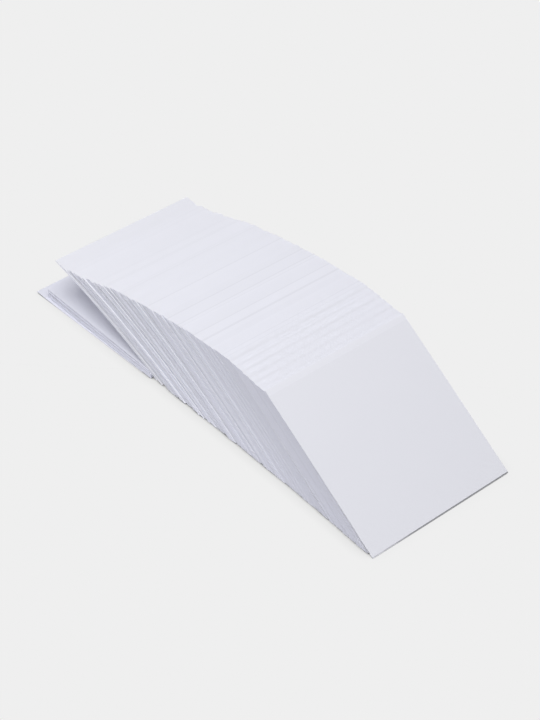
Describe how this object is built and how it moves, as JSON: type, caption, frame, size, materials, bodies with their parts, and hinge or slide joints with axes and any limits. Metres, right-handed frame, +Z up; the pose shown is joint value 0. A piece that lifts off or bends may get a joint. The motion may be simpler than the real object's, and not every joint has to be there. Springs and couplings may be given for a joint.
{
  "type": "memo cube",
  "caption": "Toppled memo cube: a stack of loose square white note sheets leaning like dominoes in one fanned pile, with a few sheets lying low at one end.",
  "frame": {"origin": "on the floor, under the middle of the whole pile's box", "axes": "+X runs along the pile towards the front sheet, -X to the sheets that lie low; the sheets' edges run along Y; +Z up"},
  "size_m": [0.2698, 0.0934, 0.0539],
  "materials": {
    "note_paper": "matt uncoated"
  },
  "bodies": {
    "root": {"floor_sheet": "note_paper", "low_packet_1": "note_paper", "low_packet_2": "note_paper", "low_packet_3": "note_paper", "low_top_sheet": "note_paper", "lift_01": "note_paper", "lift_02": "note_paper", "lift_03": "note_paper", "lift_04": "note_paper", "lift_05": "note_paper", "lift_06": "note_paper", "lift_07": "note_paper", "lift_08": "note_paper", "lift_09": "note_paper", "lift_10": "note_paper", "lift_11": "note_paper", "lift_12": "note_paper", "lift_13": "note_paper", "lift_14": "note_paper", "lift_15": "note_paper", "lift_16": "note_paper", "lift_17": "note_paper", "lift_18": "note_paper", "lift_19": "note_paper", "lift_20": "note_paper", "lift_21": "note_paper", "lift_22": "note_paper", "lift_23": "note_paper", "lift_24": "note_paper", "lift_25": "note_paper", "lift_26": "note_paper", "lift_27": "note_paper", "lift_28": "note_paper", "lift_29": "note_paper", "lift_30": "note_paper", "lift_31": "note_paper", "lift_32": "note_paper", "lift_33": "note_paper", "lift_34": "note_paper", "lift_35": "note_paper", "lift_36": "note_paper", "lift_37": "note_paper", "lift_38": "note_paper", "lift_39": "note_paper", "lift_40": "note_paper", "lift_41": "note_paper", "lift_42": "note_paper", "lift_43": "note_paper", "lift_44": "note_paper", "lift_45": "note_paper", "lift_46": "note_paper", "lift_47": "note_paper", "lift_48": "note_paper", "lift_49": "note_paper", "lift_50": "note_paper", "lift_51": "note_paper", "lift_52": "note_paper", "front_sheet": "note_paper"}
  },
  "joints": []
}
